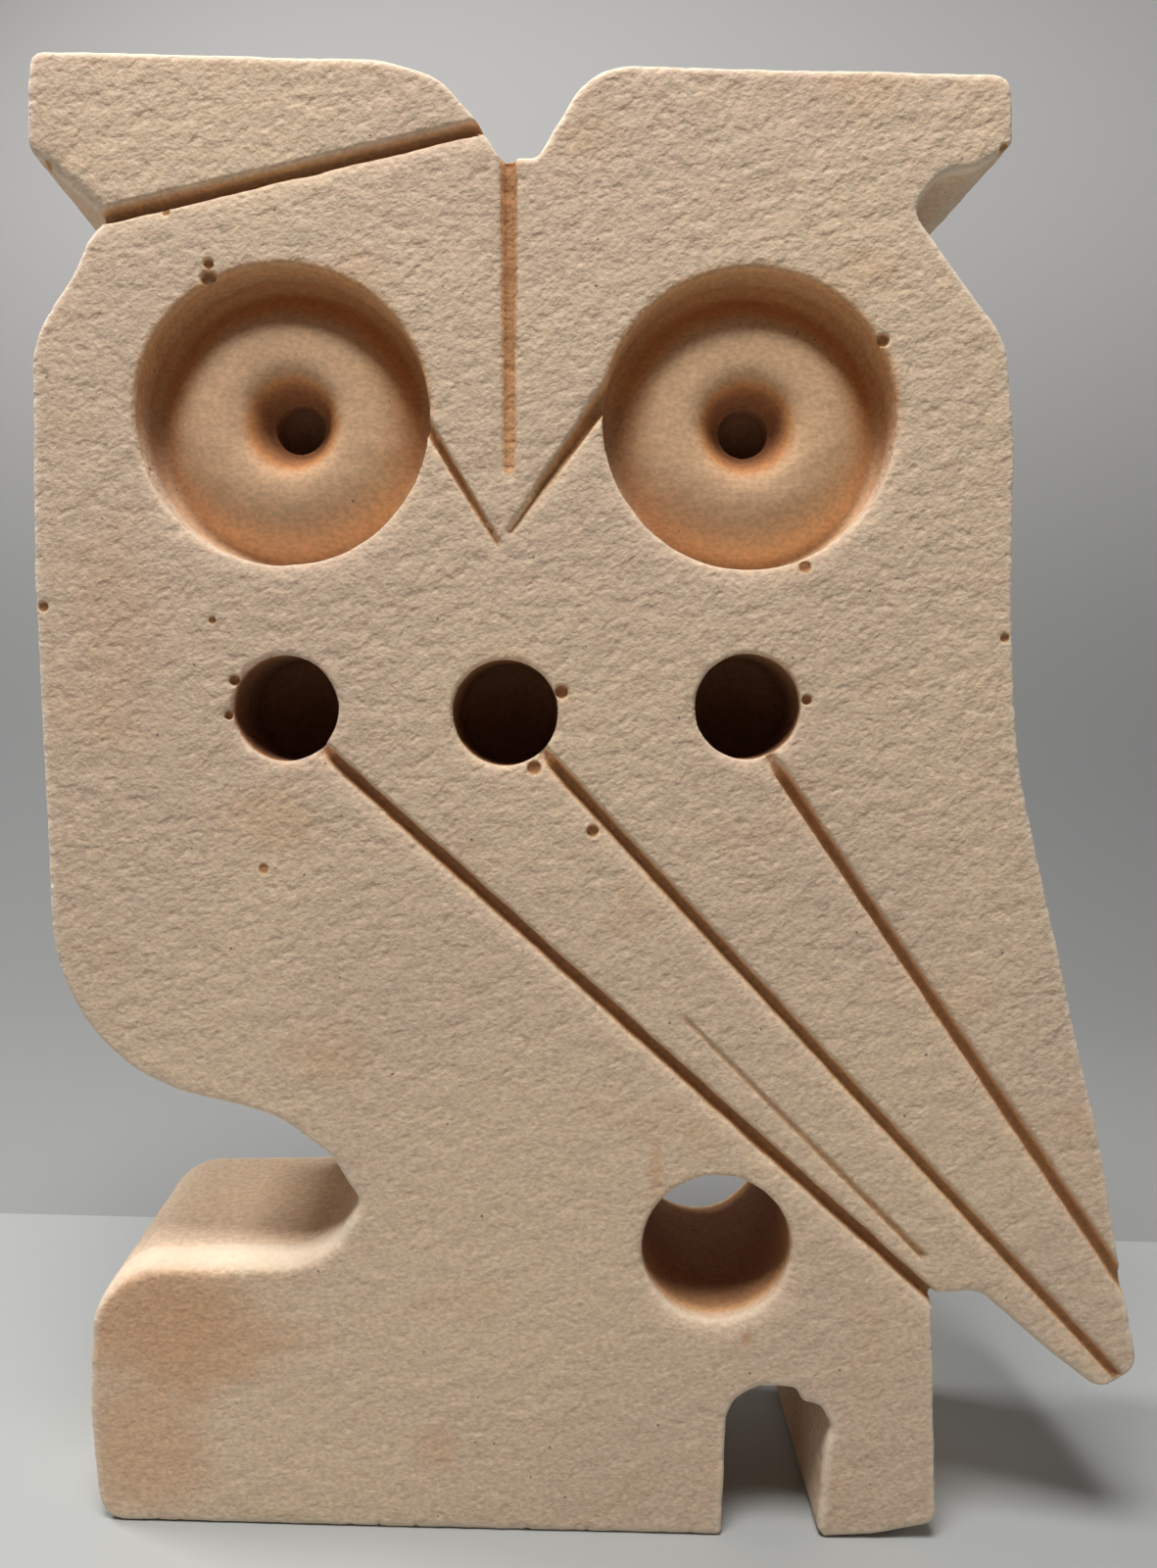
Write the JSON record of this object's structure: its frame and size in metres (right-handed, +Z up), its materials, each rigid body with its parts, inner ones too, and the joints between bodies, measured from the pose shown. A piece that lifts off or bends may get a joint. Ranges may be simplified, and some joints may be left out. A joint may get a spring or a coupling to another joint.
{
  "type": "stone owl figurine",
  "caption": "Flat stone slab sawn to an owl's outline, with sunk ring-domed eyes, drilled breast holes, sawn feather lines and a slot between its feet; stands by itself.",
  "frame": {"origin": "on the surface the owl stands on, under the middle of its bounding box", "axes": "+Z up, the owl's face looks along -Y, +X to the right as seen from the front"},
  "size_m": [0.1138, 0.03, 0.1447],
  "materials": {
    "stone": "sandblasted, matt, fine pitted grain, cream beige with pinkish and ochre stains"
  },
  "bodies": {
    "root": {"owl_figurine": "stone"}
  },
  "joints": []
}
